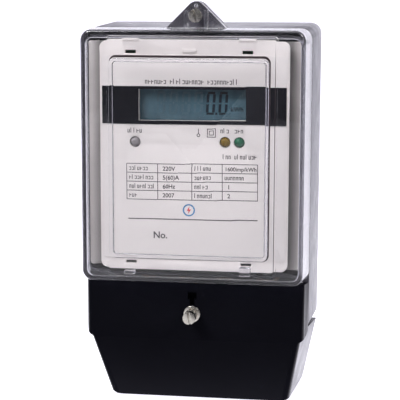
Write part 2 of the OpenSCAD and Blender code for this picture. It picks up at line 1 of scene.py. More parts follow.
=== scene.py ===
"""Looks for a wall-mounted electronic electricity meter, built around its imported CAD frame.

Lengths are metres in the part's own frame: +X right, -Y towards the viewer, +Z up, the wall at Y = 0.
"Depth" is the distance in front of the wall. Sizes given in millimetres are multiplied by MM.
"""

import json
import math
import random

import bpy
import bmesh
from mathutils import Matrix, Vector


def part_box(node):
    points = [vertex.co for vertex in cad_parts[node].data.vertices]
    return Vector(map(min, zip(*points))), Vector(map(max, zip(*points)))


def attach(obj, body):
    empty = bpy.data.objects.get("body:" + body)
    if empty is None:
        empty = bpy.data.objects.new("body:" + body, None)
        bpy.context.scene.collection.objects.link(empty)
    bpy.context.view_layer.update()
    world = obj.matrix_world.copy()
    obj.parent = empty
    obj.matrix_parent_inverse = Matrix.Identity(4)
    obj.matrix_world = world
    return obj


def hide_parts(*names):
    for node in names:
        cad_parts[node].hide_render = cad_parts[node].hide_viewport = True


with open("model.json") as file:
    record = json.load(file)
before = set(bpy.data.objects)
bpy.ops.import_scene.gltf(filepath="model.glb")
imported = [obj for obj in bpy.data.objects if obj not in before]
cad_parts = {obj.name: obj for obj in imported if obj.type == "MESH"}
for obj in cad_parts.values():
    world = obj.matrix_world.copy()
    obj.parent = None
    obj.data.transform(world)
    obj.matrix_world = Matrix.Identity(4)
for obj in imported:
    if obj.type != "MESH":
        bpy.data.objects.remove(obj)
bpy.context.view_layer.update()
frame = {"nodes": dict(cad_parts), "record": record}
nodes = frame["nodes"]
MM = 0.001

# ---------------------------------------------------------------- places read from the frame


def limits(node):
    """Left, right, back depth, front depth, bottom and top of a CAD node, in metres."""
    low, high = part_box(node)
    return low.x, high.x, -high.y, -low.y, low.z, high.z


_, COVER_RIGHT, COVER_BACK, WINDOW_DEPTH, COVER_BOTTOM, LUG_TOP = limits("clear_cover")
PANEL_RIGHT = limits("front_panel")[1]
PLATE_DEPTH, PLATE_BOTTOM, PLATE_TOP = limits("nameplate")[3:]
BAND_BOTTOM, BAND_TOP = limits("display_bezel")[4:]
GLASS_DEPTH, GLASS_BOTTOM, _ = limits("lcd_front_glass")[3:]
SCREW_BOTTOM, SCREW_TOP = limits("cover_screw")[4:]
GASKET_TOP = limits("cover_gasket")[5]
TERMINAL_COVER_BOTTOM = limits("terminal_cover")[4]

# the clear cover: its face, its rim's top edge, its walls, the raised window and the pad around it
FACE_DEPTH = WINDOW_DEPTH - 3.2 * MM
RIM_TOP = GASKET_TOP + 0.5 * MM
WALL = 2.2 * MM
THICKER_TOP = 1.6 * MM
WINDOW_HALF = 38.0 * MM
WINDOW_X = -1.2 * MM
WINDOW_WALL = 1.5 * MM
WINDOW_TOP = PLATE_TOP - 1.3 * MM
WINDOW_BOTTOM = PLATE_BOTTOM + 2.0 * MM
PAD_HALF = 40.6 * MM
PAD_RISE = 0.6 * MM
# the panel: the depth between its sheet and its side flanges, and the places of its clips
FLANGE_LIMIT = 60 * MM
CLIP_LEFT, CLIP_RIGHT = -30.6 * MM, 25.6 * MM

# ---------------------------------------------------------------- materials


class Surface:
    """A node material around one Principled shader, with helpers for patterns in object space."""

    def __init__(self, name, color, roughness, metallic=0.0, **sockets):
        self.name = name
        self.material = bpy.data.materials.new(name)
        self.material.use_nodes = True
        self.tree = self.material.node_tree
        self.shader = self.tree.nodes["Principled BSDF"]
        self.out = self.tree.nodes["Material Output"]
        self.color = color
        self.shader.inputs["Base Color"].default_value = (*color, 1)
        self.shader.inputs["Roughness"].default_value = roughness
        self.shader.inputs["Metallic"].default_value = metallic
        self.roughness = roughness
        for socket, value in sockets.items():
            self.shader.inputs[socket.replace("_", " ")].default_value = value

    def node(self, kind, **values):
        made = self.tree.nodes.new(kind)
        for key, value in values.items():
            if key in made.inputs:
                made.inputs[key].default_value = value
            else:
                setattr(made, key, value)
        return made

    def link(self, source, target):
        self.tree.links.new(source, target)

    def coords(self, stretch=(1, 1, 1)):
        place = self.node("ShaderNodeTexCoord")
        mapping = self.node("ShaderNodeMapping", Scale=stretch)
        self.link(place.outputs["Object"], mapping.inputs["Vector"])
        return mapping.outputs["Vector"]

    def noise(self, scale, detail=3.0, stretch=(1, 1, 1)):
        texture = self.node("ShaderNodeTexNoise", Scale=scale, Detail=detail)
        self.link(self.coords(stretch), texture.inputs["Vector"])
        return texture.outputs["Fac"]

    def remap(self, source, low, high, span=(0.3, 0.7)):
        ramp = self.node("ShaderNodeMapRange", clamp=True)
        for socket, value in zip(("From Min", "From Max", "To Min", "To Max"), (*span, low, high)):
            ramp.inputs[socket].default_value = value
        self.link(source, ramp.inputs["Value"])
        return ramp.outputs["Result"]

    def mottle(self, scale, amount, stretch=(1, 1, 1)):
        """Lets the colour drift a little, as real mouldings and prints do."""
        mix = self.node("ShaderNodeMix", data_type="RGBA")
        dark = [c * (1 - amount) for c in self.color]
        light = [min(1, c * (1 + amount)) for c in self.color]
        mix.inputs["A"].default_value = (*dark, 1)
        mix.inputs["B"].default_value = (*light, 1)
        self.link(self.remap(self.noise(scale, stretch=stretch), 0, 1), mix.inputs["Factor"])
        self.link(mix.outputs["Result"], self.shader.inputs["Base Color"])
        return self

    def smudge(self, scale, spread, stretch=(1, 1, 1)):
        """Uneven polish: roughness wanders about its middle value."""
        low, high = self.roughness * (1 - spread), self.roughness * (1 + spread)
        polish = self.remap(self.noise(scale, stretch=stretch), low, high)
        self.link(polish, self.shader.inputs["Roughness"])
        return self

    def grain(self, scale, height, stretch=(1, 1, 1), detail=2.0):
        """Fine relief, height in metres."""
        bump = self.node("ShaderNodeBump", Strength=1.0, Distance=height)
        self.link(self.noise(scale, detail, stretch), bump.inputs["Height"])
        previous = self.shader.inputs["Normal"]
        if previous.is_linked:
            self.link(previous.links[0].from_socket, bump.inputs["Normal"])
        self.link(bump.outputs["Normal"], self.shader.inputs["Normal"])
        return self

    def split(self, kind):
        """X, Y and Z of the object's own coordinates, or of its normals."""
        place = self.node("ShaderNodeTexCoord")
        split = self.node("ShaderNodeSeparateXYZ")
        self.link(place.outputs[kind], split.inputs["Vector"])
        return split

    def sideways(self, split):
        """How far to the left or right, without its sign."""
        size = self.node("ShaderNodeMath", operation="ABSOLUTE")
        self.link(split.outputs["X"], size.inputs[0])
        return size.outputs["Value"]

    def rough_sides(self, front, rough):
        """Polished at the front, which ends at that depth, and hazy on the side walls behind it."""
        span = (-front, -front + 1.5 * MM)
        haze = self.remap(self.split("Object").outputs["Y"], self.roughness, rough, span)
        self.link(haze, self.shader.inputs["Roughness"])
        return self

    def painted_shade_on_step(self, reach, depth):
        """Painted shade: darker on the low side flanges, which lie behind that depth, and darkest beside
        the step, standing in for the panel's shadow and the crease at its foot.
        """
        split = self.split("Object")
        shade = self.remap(self.sideways(split), 0.2, 0.62, (reach - 6.9 * MM, reach - 1.5 * MM))
        front = self.remap(split.outputs["Y"], 1, 0, (-depth, -depth + 1 * MM))
        lit = self.node("ShaderNodeMath", operation="MAXIMUM")
        self.link(shade, lit.inputs[0])
        self.link(front, lit.inputs[1])
        mix = self.node("ShaderNodeMix", data_type="RGBA")
        base = self.shader.inputs["Base Color"].links[0].from_socket
        mix.inputs["A"].default_value = (0, 0, 0, 1)
        self.link(base, mix.inputs["B"])
        self.link(lit.outputs["Value"], mix.inputs["Factor"])
        self.link(mix.outputs["Result"], self.shader.inputs["Base Color"])
        return self

    def glossy_sides(self, gloss):
        """More gloss on the faces that look left or right than on the satin front."""
        specular = self.shader.inputs["Specular IOR Level"]
        turn = self.sideways(self.split("Normal"))
        self.link(self.remap(turn, specular.default_value, gloss, (0.5, 0.9)), specular)
        return self

    def let_lamps_through(self):
        """Clear plastic: rays from the lamps pass straight through, so that what lies behind is lit."""
        mix = self.node("ShaderNodeMixShader")
        clear = self.node("ShaderNodeBsdfTransparent", Color=(0.93, 0.93, 0.95, 1))
        path = self.node("ShaderNodeLightPath")
        self.link(path.outputs["Is Shadow Ray"], mix.inputs[0])
        self.link(self.shader.outputs["BSDF"], mix.inputs[1])
        self.link(clear.outputs["BSDF"], mix.inputs[2])
        self.link(mix.outputs["Shader"], self.out.inputs["Surface"])
        return self

    def smoke(self, color, density):
        volume = self.node("ShaderNodeVolumeAbsorption", Color=(*color, 1), Density=density)
        self.link(volume.outputs["Volume"], self.out.inputs["Volume"])
        return self


def moulded(name, color, roughness, **sockets):
    """Injection-moulded plastic: faint colour drift, uneven polish and a fine grain."""
    surface = Surface(name, color, roughness, **sockets)
    return surface.mottle(60, 0.06).smudge(90, 0.18).grain(3500, 0.000006)


def machined(name, color, roughness, stretch=(1, 1, 1)):
    """Turned or rolled metal: fine tool marks and a slightly stained colour."""
    surface = Surface(name, color, roughness, metallic=1.0)
    return surface.mottle(220, 0.10).smudge(700, 0.3, stretch).grain(2600, 0.000008, stretch)


def make_materials():
    plain = (
        moulded("black_case", (0.052, 0.049, 0.061), 0.3, Specular_IOR_Level=0.38),
        moulded("black_cover", (0.005, 0.005, 0.0075), 0.2, Specular_IOR_Level=0.004),
        moulded("black_moulding", (0.02, 0.02, 0.022), 0.42),
        Surface("gasket", (0.03, 0.028, 0.034), 0.8).mottle(900, 0.4).grain(5000, 0.00005),
        machined("nickel", (0.78, 0.74, 0.68), 0.24),
        machined("zinc_steel", (0.62, 0.63, 0.66), 0.32),
        machined("brass", (0.72, 0.53, 0.22), 0.26),
        machined("copper", (0.72, 0.38, 0.24), 0.3, (0.1, 1, 1)),
        moulded("grey_panel", (0.765, 0.715, 0.68), 0.5),
        Surface("nameplate_sheet", (0.745, 0.7, 0.67), 0.42).mottle(25, 0.025),
        Surface("black_band", (0.007, 0.007, 0.01), 0.3, Specular_IOR_Level=0.2),
        Surface("contact_rubber", (0.62, 0.4, 0.42), 0.7).mottle(500, 0.3, (8, 1, 0.2)),
        Surface("circuit_board", (0.02, 0.16, 0.06), 0.35),
        Surface("chip_black", (0.02, 0.02, 0.02), 0.6).mottle(400, 0.2).grain(4000, 0.00001),
        moulded("capacitor_box", (0.55, 0.36, 0.05), 0.35),
        moulded("capacitor_sleeve", (0.03, 0.05, 0.16), 0.3),
        Surface("varistor_blue", (0.03, 0.12, 0.4), 0.5).mottle(300, 0.2).grain(800, 0.00005),
        Surface("resistor_body", (0.58, 0.46, 0.3), 0.4).mottle(700, 0.5, (1, 0.05, 0.05)),
        moulded("header_white", (0.75, 0.73, 0.66), 0.45),
        moulded("wire_red", (0.5, 0.02, 0.02), 0.35),
        moulded("wire_blue", (0.02, 0.08, 0.42), 0.35),
        Surface("lcd_backing", (0.12, 0.19, 0.22), 0.5).mottle(200, 0.15),
        Surface("ink", (0.03, 0.022, 0.026), 0.5).mottle(2500, 0.5),
        Surface("emblem_blue", (0.03, 0.2, 0.42), 0.45).mottle(900, 0.15),
        Surface("emblem_red", (0.7, 0.05, 0.05), 0.45).mottle(900, 0.15),
        # painted shade: the dark strips at the foot of the raised window and of its pad
        Surface("window_painted_shade", (0.045, 0.03, 0.033), 0.4).mottle(300, 0.3),
        Surface("lcd_dark", (0.004, 0.01, 0.018), 0.3).mottle(1500, 0.3),
        Surface("lcd_ghost", (0.054, 0.104, 0.13), 0.3).mottle(1500, 0.1),
    )
    made = {surface.name: surface for surface in plain}
    made["black_cover"].glossy_sides(0.17)
    # painted shade on the panel's low side flanges, darkest beside the raised sheet
    made["grey_panel"].painted_shade_on_step(PANEL_RIGHT, FLANGE_LIMIT)
    made["nameplate_sheet"].grain(6000, 0.000004)
    made["black_band"].mottle(300, 0.15).grain(5000, 0.000004)
    made["circuit_board"].mottle(420, 0.45, (1, 1, 0.15)).grain(900, 0.00004)
    made["lcd_glass"] = Surface("lcd_glass", (0.068, 0.128, 0.158), 0.16, Coat_Weight=0.3)
    made["lcd_glass"].mottle(260, 0.16, (1, 1, 0.25)).smudge(200, 0.3)
    clear = Surface("clear_plastic", (0.97, 0.97, 0.985), 0.02, Transmission_Weight=1.0, IOR=1.52)
    clear.rough_sides(FACE_DEPTH - 2.8 * MM, 0.2).grain(500, 0.000002)
    made["clear_plastic"] = clear.let_lamps_through().smoke((0.72, 0.7, 0.78), 40)
    for name, color in {
        "led_clear": (0.22, 0.2, 0.205),
        "led_amber": (0.17, 0.1, 0.002),
        "led_green": (0.01, 0.1, 0.05),
    }.items():
        lamp = Surface(name, color, 0.25, Coat_Weight=0.6, Coat_Roughness=0.05)
        made[name] = lamp.mottle(900, 0.25).smudge(600, 0.3)
    return {name: surface.material for name, surface in made.items()}


MATERIALS = make_materials()

# ---------------------------------------------------------------- mesh helpers


def finish_piece(piece, body, replaced=()):
    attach(piece, body)
    if replaced:
        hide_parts(*replaced)
    return piece


def new_object(name, mesh, material, smooth_angle=None):
    piece = bpy.data.objects.new(name, mesh)
    bpy.context.scene.collection.objects.link(piece)
    mesh.materials.clear()
    mesh.materials.append(MATERIALS[material])
    if smooth_angle is not None:
        for polygon in mesh.polygons:
            polygon.use_smooth = True
        mesh.set_sharp_from_angle(angle=math.radians(smooth_angle))
    return piece


def soften(piece, width, segments=2, angle=35):
    """Rounds a piece's sharp edges with modifiers, leaving its own vertices as they are."""
    weld = piece.modifiers.new("weld", "WELD")
    weld.merge_threshold = 0.002 * MM
    flat = piece.modifiers.new("flat", "DECIMATE")
    flat.decimate_type = "DISSOLVE"
    flat.angle_limit = math.radians(0.6)
    bevel = piece.modifiers.new("bevel", "BEVEL")
    bevel.width = width
    bevel.segments = segments
    bevel.limit_method = "ANGLE"
    bevel.angle_limit = math.radians(angle)
    bevel.harden_normals = True
    for polygon in piece.data.polygons:
        polygon.use_smooth = True


def rounded_loop(half, bottom, top, radius, depth, middle=0.0, arc_steps=10, side_steps=8):
    """Points of a rounded rectangle, centred on middle, in the plane at that depth."""
    points = []
    left, right = middle - half + radius, middle + half - radius
    corners = (
        (right, top - radius, 0),
        (left, top - radius, 90),
        (left, bottom + radius, 180),
        (right, bottom + radius, 270),
    )

    def arc_point(corner, degrees):
        cx, cz, start = corner
        angle = math.radians(start + degrees)
        return Vector((cx + radius * math.cos(angle), -depth, cz + radius * math.sin(angle)))

    for index, corner in enumerate(corners):
        for step in range(arc_steps + 1):
            points.append(arc_point(corner, 90 * step / arc_steps))
        target = arc_point(corners[(index + 1) % 4], 0)
        here = points[-1]
        for step in range(1, side_steps):
            points.append(here.lerp(target, step / side_steps))
    return points


def loft(bm, loops):
    """Joins successive loops of equal length with quads, and returns the rings of vertices."""
    rings = [[bm.verts.new(point) for point in loop] for loop in loops]
    for ring, following in zip(rings, rings[1:]):
        count = len(ring)
        for i in range(count):
            j = (i + 1) % count
            bm.faces.new((ring[i], ring[j], following[j], following[i]))
    return rings


def fillet(half, bottom, top, radius, depth_side, reach, steps=6):
    """Loops that turn from a side wall, at depth_side, onto a front face that far forward and inward."""
    loops = []
    for step in range(steps + 1):
        angle = math.radians(90 * step / steps)
        inset = reach * (1 - math.cos(angle))
        depth = depth_side + reach * math.sin(angle)
        loops.append((half - inset, bottom + inset, top - inset, max(radius - inset, 0.4 * MM), depth))
    return loops


def hollow(half, bottom, top, radius, depth_front, reach, steps=4):
    """Loops that turn from a front face into the foot of a raised wall, reach inward and forward."""
    loops = []
    for step in range(steps + 1):
        angle = math.radians(90 * step / steps)
        inset = -reach * (1 - math.sin(angle))
        depth = depth_front + reach * (1 - math.cos(angle))
        loops.append((half - inset, bottom + inset, top - inset, radius - inset, depth))
    return loops


# ---------------------------------------------------------------- clear cover

def cover_skin(inset, rim_depth):
    """Loops of one side of the clear cover, from its rim to the middle of the raised window."""
    half = COVER_RIGHT - inset
    bottom, top = COVER_BOTTOM + inset, RIM_TOP - inset
    if inset:
        top -= THICKER_TOP
    edge = 1.7 * MM if inset == 0 else 0.4 * MM
    face = FACE_DEPTH - inset
    side = face - edge
    draft = 1.8 * MM
    loops = [(half, bottom, top, 5.5 * MM - 0.8 * inset, rim_depth)]
    loops += fillet(half - draft, bottom + 1.0 * MM, top - 0.6 * MM, 5.2 * MM - 0.8 * inset, side, edge)
    if inset == 0:
        pad = (PAD_HALF, bottom + 4 * MM, top - 3.5 * MM, 1.4 * MM)
        curl = 0.3 * MM
        loops += hollow(*pad, face, curl, 2) + fillet(*pad, face + PAD_RISE - curl, curl, 3)
        face += PAD_RISE
    wall = WINDOW_WALL if inset else 0
    window = (WINDOW_HALF - wall, WINDOW_BOTTOM + wall, WINDOW_TOP - wall, 2.8 * MM - 0.8 * wall)
    crest = 0.5 * MM
    front = WINDOW_DEPTH - (2.0 * MM if inset else 0)
    raised = hollow(*window, face, 0.35 * MM) + fillet(*window, front - crest, crest, 5)
    return [rounded_loop(*loop) for loop in loops] + [rounded_loop(*loop, WINDOW_X) for loop in raised]


def make_cover_shell():
    bm = bmesh.new()
    outer = loft(bm, cover_skin(0, COVER_BACK))
    inner = loft(bm, cover_skin(WALL, COVER_BACK))
    bm.faces.new(outer[-1])
    bm.faces.new(list(reversed(inner[-1])))
    count = len(outer[0])
    for i in range(count):
        j = (i + 1) % count
        bm.faces.new((outer[0][j], outer[0][i], inner[0][i], inner[0][j]))
    bmesh.ops.recalc_face_normals(bm, faces=bm.faces)
    mesh = bpy.data.meshes.new("clear_cover_shell")
    bm.to_mesh(mesh)
    bm.free()
    shell = new_object("clear_cover_shell", mesh, "clear_plastic", 40)
    return finish_piece(shell, "clear_cover", ["clear_cover"])


def plate_from_outline(name, outlines, back, front, edge, material):
    """A flat plate in X and Z with rounded edges: the first outline is its rim, the others are holes."""
    curve = bpy.data.curves.new(name, "CURVE")
    curve.dimensions = "2D"
    curve.fill_mode = "BOTH"
    curve.extrude = (front - back) / 2 - edge
    curve.bevel_depth = edge
    curve.bevel_resolution = 3
    curve.offset = -edge
    for outline in outlines:
        spline = curve.splines.new("POLY")
        spline.points.add(len(outline) - 1)
        for point, (x, z) in zip(spline.points, outline):
            point.co = (x, z, 0, 1)
        spline.use_cyclic_u = True
    holder = bpy.data.objects.new(name, curve)
    bpy.context.scene.collection.objects.link(holder)
    graph = bpy.context.evaluated_depsgraph_get()
    mesh = bpy.data.meshes.new_from_object(holder.evaluated_get(graph))
    bpy.data.objects.remove(holder)
    turn = Matrix.Rotation(math.radians(90), 4, "X")
    mesh.transform(Matrix.Translation((0, -(back + front) / 2, 0)) @ turn)
    return new_object(name, mesh, material, 35)


def circle_outline(x, z, radius, steps=40, start=0, end=360):
    angles = [math.radians(start + (end - start) * i / steps) for i in range(steps + (end - start < 360))]
    return [(x + radius * math.cos(a), z + radius * math.sin(a)) for a in angles]


def clear_block(name, x, width, back, front, bottom, top):
    """A small moulded block of the clear cover, with rounded edges."""
    bm = bmesh.new()
    bmesh.ops.create_cube(bm, size=1)
    size = Vector((width, front - back, top - bottom))
    centre = Vector((x, -(front + back) / 2, (bottom + top) / 2))
    bmesh.ops.transform(bm, verts=bm.verts, matrix=Matrix.Translation(centre) @ Matrix.Diagonal((*size, 1)))
    bmesh.ops.bevel(bm, geom=bm.edges, offset=0.45 * MM, segments=4, affect="EDGES", profile=0.5)
    mesh = bpy.data.meshes.new(name)
    bm.to_mesh(mesh)
    bm.free()
    finish_piece(new_object(name, mesh, "clear_plastic", 60), "clear_cover")


def make_cover_tab():
    """The clear lug in front of the base's lug, with the two ribs that shield the screw."""
    tip = 4.5 * MM
    centre = LUG_TOP - tip
    root = RIM_TOP + 0.05 * MM
    reach = tip * math.sqrt(2) + centre - root
    outline = circle_outline(0, centre, tip, 16, 45, 135) + [(-reach, root), (reach, root)]
    screw_z = (SCREW_TOP + SCREW_BOTTOM) / 2
    holes = [circle_outline(0, screw_z, 1.8 * MM), circle_outline(0, centre + 2.25 * MM, 0.9 * MM, 20)]
    front = limits("cover_screw_washer")[2] - 0.1 * MM
    tab = plate_from_outline("cover_tab", [outline] + holes, COVER_BACK, front, 0.3 * MM, "clear_plastic")
    finish_piece(tab, "clear_cover")
    rib_back, rib_front = front + 0.05 * MM, front + 3.5 * MM
    rib_bottom = RIM_TOP + 0.2 * MM
    for index, x in enumerate((-4.5 * MM, 5.1 * MM)):
        clear_block(f"tab_rib_{index}", x, 1.9 * MM, rib_back, rib_front, rib_bottom, rib_bottom + 8.2 * MM)


def make_hooks():
    """Two small hooks inside the cover, over the panel's lower edge."""
    back, front = FACE_DEPTH - 6.8 * MM, FACE_DEPTH - WALL - 0.05 * MM
    clear_block("hook_left", CLIP_LEFT, 5.2 * MM, back, front, -42.5 * MM, -40.7 * MM)
    clear_block("hook_right", CLIP_RIGHT, 5.2 * MM, back, front, -41.9 * MM, -37.7 * MM)


def make_window_painted_shade():
    """Painted shade: a dark strip at the foot of the raised window, broad above it, narrow on its right and
    below it, standing in for the dark step walls seen from above and to the right.
    """
    above, beside, below, hidden = 1.5 * MM, 0.6 * MM, 0.5 * MM, 0.02 * MM
    gap_above = 0.4 * MM
    depth = FACE_DEPTH + PAD_RISE
    half = WINDOW_HALF + (beside + hidden) / 2
    middle = WINDOW_X + (beside - hidden) / 2
    outer = rounded_loop(half, WINDOW_BOTTOM - below, WINDOW_TOP + above, 3.2 * MM, depth, middle)
    inner = rounded_loop(WINDOW_HALF, WINDOW_BOTTOM, WINDOW_TOP + gap_above, 2.8 * MM, depth, WINDOW_X)
    outlines = [[(point.x, point.z) for point in loop] for loop in (outer, inner)]
    back, front = depth - 0.05 * MM, depth + 0.3 * MM
    shade_ring = plate_from_outline("window_painted_shade", outlines, back, front, 0.0, "window_painted_shade")
    finish_piece(shade_ring, "clear_cover")


def make_pad_painted_shade_line():
    """Painted shade: a dark hairline along the right foot of the low pad round the window, standing in for
    the pad's shaded step.
    """
    foot, half = PAD_HALF - 1.0 * MM, 0.15 * MM
    left, right = foot - half, foot + half
    bottom, top = WINDOW_BOTTOM - 6 * MM, WINDOW_TOP + 8 * MM
    shoulder = top - 16 * MM
    outline = [(left, bottom), (right, bottom), (right, shoulder), (foot, top), (left, shoulder)]
    depth = FACE_DEPTH + PAD_RISE
    back, front = depth - 0.05 * MM, depth + 0.05 * MM
    line = plate_from_outline("pad_painted_shade_line", [outline], back, front, 0.0, "window_painted_shade")
    finish_piece(line, "clear_cover")


make_cover_shell()
make_cover_tab()
make_hooks()
make_window_painted_shade()
make_pad_painted_shade_line()

# ---------------------------------------------------------------- printing on the nameplate


class Print:
    """Flat marks laid just above a surface, gathered in one mesh."""

    def __init__(self, depth):
        self.bm = bmesh.new()
        self.y = -depth - 0.02 * MM

    def polygon(self, points):
        self.bm.faces.new([self.bm.verts.new((x, self.y, z)) for x, z in points])

    def bar(self, x0, x1, z0, z1, lean=0.0):
        slant = (z1 - z0) * lean
        self.polygon([(x0, z0), (x1, z0), (x1 + slant, z1), (x0 + slant, z1)])

    def frame(self, x0, x1, z0, z1, line):
        self.bar(x0, x1, z0, z0 + line)
        self.bar(x0, x1, z1 - line, z1)
        self.bar(x0, x0 + line, z0 + line, z1 - line)
        self.bar(x1 - line, x1, z0 + line, z1 - line)

    def ring(self, x, z, radius, line, steps=24):
        outer = circle_outline(x, z, radius, steps)
        inner = circle_outline(x, z, radius - line, steps)
        for i in range(steps):
            j = (i + 1) % steps
            self.polygon([outer[i], outer[j], inner[j], inner[i]])

    def mark(self, x, z, width, height, line, kind):
        """One stroke group of stand-in writing: it has the weight of a letter but isn't one."""
        tall = height if kind in (0, 3) else height * 0.72
        if kind in (0, 1, 2):
            self.bar(x, x + line, z, z + tall)
        if kind in (1, 2, 3):
            self.bar(x + width - line, x + width, z, z + height * 0.72)
        if kind in (1, 3):
            self.bar(x, x + width, z + height * 0.72 - line, z + height * 0.72)
        if kind in (2, 3):
            self.bar(x, x + width, z, z + line)
        if kind == 4:
            self.bar(x, x + width, z + height * 0.36, z + height * 0.36 + line)
            self.bar(x, x + line, z, z + height * 0.72)

    def text(self, x, z, size, body):
        """Plain numbers and units, in Blender's own font, from x to the right."""
        curve = bpy.data.curves.new("lettering", "FONT")
        curve.body = body
        curve.size = size
        curve.offset = size * 0.018
        holder = bpy.data.objects.new("lettering", curve)
        bpy.context.scene.collection.objects.link(holder)
        mesh = bpy.data.meshes.new_from_object(holder.evaluated_get(bpy.context.evaluated_depsgraph_get()))
        bpy.data.objects.remove(holder)
        mesh.transform(Matrix.Translation((x, self.y, z)) @ Matrix.Rotation(math.radians(90), 4, "X"))
        self.bm.from_mesh(mesh)
        bpy.data.meshes.remove(mesh)

    def writing(self, x0, x1, z, height, words, seed):
        """Stand-in writing from x0 to x1, split into words of the given lengths."""
        chance = random.Random(seed)
        slots = sum(words) + len(words) - 1
        step = (x1 - x0) / slots
        place = 0
        for count in words:
            for _ in range(count):
                self.mark(x0 + place * step, z, step * 0.76, height, height * 0.14, chance.randrange(5))
                place += 1
            place += 1

    def done(self, name, material):
        mesh = bpy.data.meshes.new(name)
        self.bm.normal_update()
        for face in self.bm.faces:
            if face.normal.y > 0:
                face.normal_flip()
        self.bm.to_mesh(mesh)
        self.bm.free()
        return finish_piece(new_object(name, mesh, material), "root")


def lamp_x(node):
    left, right = limits(node)[:2]
    return (left + right) / 2


def print_nameplate():
    ink = Print(PLATE_DEPTH)
    line = 0.34 * MM
    # heading above the band
    ink.writing(-23.4 * MM, 21.7 * MM, BAND_TOP + 1.1 * MM, 2.6 * MM, (7, 11, 10), 3)
    # captions above the three lamps, and two standard symbols between them
    caption = BAND_BOTTOM - 4.2 * MM
    for node, letters in (("pulse_led", 5), ("reverse_led", 3), ("power_led", 3)):
        centre = lamp_x(node)
        half = 0.73 * letters * MM
        ink.writing(centre - half, centre + half, caption, 2.4 * MM, (letters,), letters + int(centre / MM))
    symbol_x = 2.2 * MM
    ink.bar(symbol_x - line / 2, symbol_x + line / 2, caption - 0.2 * MM, caption + 2.2 * MM)
    ink.ring(symbol_x, caption - 0.9 * MM, 0.85 * MM, line)
    square_x, square_z = 8.6 * MM, caption + 0.1 * MM
    for half in (2.2 * MM, 1.2 * MM):
        ink.frame(square_x - half, square_x + half, square_z - half, square_z + half, line)
    # rating table: four rows and four columns
    left, right = -32.7 * MM, 30.8 * MM
    top, rows, row = 10.9 * MM, 4, 4.35 * MM
    columns = [left, -17.5 * MM, -0.7 * MM, 13.8 * MM, right]
    for i in range(rows + 1):
        z = top - i * row
        ink.bar(left, right, z - line / 2, z + line / 2)
    for x in columns:
        ink.bar(x - line / 2, x + line / 2, top - rows * row, top)
    table = ((7, "220V", 6, "1600imp/kWh"), (9, "5(60)A", 6, 7), (10, "60Hz", 5, "1"), (3, "2007", 7, "2"))
    for i, cells in enumerate(table):
        for j, cell in enumerate(cells):
            x = columns[j] + 1.2 * MM
            z = top - (i + 1) * row + 1.1 * MM
            if isinstance(cell, str):
                inset, size = (1.2 * MM, 2.9 * MM) if len(cell) < 7 else (0, 2.65 * MM)
                ink.text(x + inset, z, size, cell)
            else:
                width = min(columns[j + 1] - x - 1.0 * MM, cell * 1.35 * MM)
                ink.writing(x, x + width, z, 2.3 * MM, (cell,), 10 * i + j)
    # standard's number above the table, rule and serial-number mark below it
    ink.writing(14.1 * MM, 30.6 * MM, top + 2.5 * MM, 2.4 * MM, (3, 8), 55)
    rule = top - 26.9 * MM
    ink.bar(left + 0.6 * MM, right, rule - line * 0.7, rule + line * 0.7)
    ink.text(-19.9 * MM, rule - 9.4 * MM, 4.6 * MM, "No.")
    ink.done("nameplate_print", "ink")

    emblem = Print(PLATE_DEPTH)
    emblem_x, emblem_z = -2.2 * MM, rule + 4.6 * MM
    emblem.ring(emblem_x, emblem_z, 3.0 * MM, 0.7 * MM, 40)
    emblem.done("emblem_ring", "emblem_blue")
    bolt = Print(PLATE_DEPTH)
    shape = [(0.4, 2.0), (-1.1, -0.3), (-0.1, -0.3), (-0.5, -2.0), (1.1, 0.4), (0.1, 0.4)]
    bolt.polygon([(emblem_x + x * MM, emblem_z + z * MM) for x, z in shape])
    bolt.done("emblem_bolt", "emblem_red")


def segment_digit(paper, x, z, width, height, lit):
    """A seven-segment digit: lit names its segments, a at the top, clockwise, g in the middle."""
    bar = 0.3 * width
    gap = 0.09 * width
    lean = 0.07
    middle = z + height / 2

    def place(x0, x1, z0, z1):
        shift = (z0 - z) * lean
        paper.bar(x0 + shift, x1 + shift, z0, z1, lean)

    spots = {
        "a": (x + gap, x + width - gap, z + height - bar * 0.8, z + height),
        "b": (x + width - bar, x + width, middle + gap, z + height - bar * 0.9),
        "c": (x + width - bar, x + width, z + bar * 0.9, middle - gap),
        "d": (x + gap, x + width - gap, z, z + bar * 0.8),
        "e": (x, x + bar, z + bar * 0.9, middle - gap),
        "f": (x, x + bar, middle + gap, z + height - bar * 0.9),
        "g": (x + bar + gap, x + width - bar - gap, middle - bar / 2, middle + bar / 2),
    }
    for name in lit:
        place(*spots[name])


def print_display():
    dark = Print(GLASS_DEPTH)
    ghost = Print(GLASS_DEPTH)
    width, height, pitch = 4.3 * MM, 11.0 * MM, 6.0 * MM
    first, bottom = 5.0 * MM, GLASS_BOTTOM + 3.9 * MM
    for i in range(2):
        segment_digit(dark, first + i * pitch, bottom, width, height, "abcdef")
        segment_digit(ghost, first + i * pitch, bottom, width, height, "g")
    for i in range(1, 5):
        segment_digit(ghost, first - i * pitch, bottom, width, height, "abcdefg")
    dot = first + width + 0.3 * MM
    dark.bar(dot, dot + 1.1 * MM, bottom, bottom + 1.1 * MM)
    dark.done("display_digits", "lcd_dark")
    ghost.done("display_ghost_segments", "lcd_ghost")
    unit = Print(GLASS_DEPTH)
    unit.text(17.4 * MM, bottom + 1.3 * MM, 3.1 * MM, "kWh")
    unit.done("display_unit", "lcd_dark")


print_nameplate()
print_display()

# ---------------------------------------------------------------- finishes of the CAD nodes

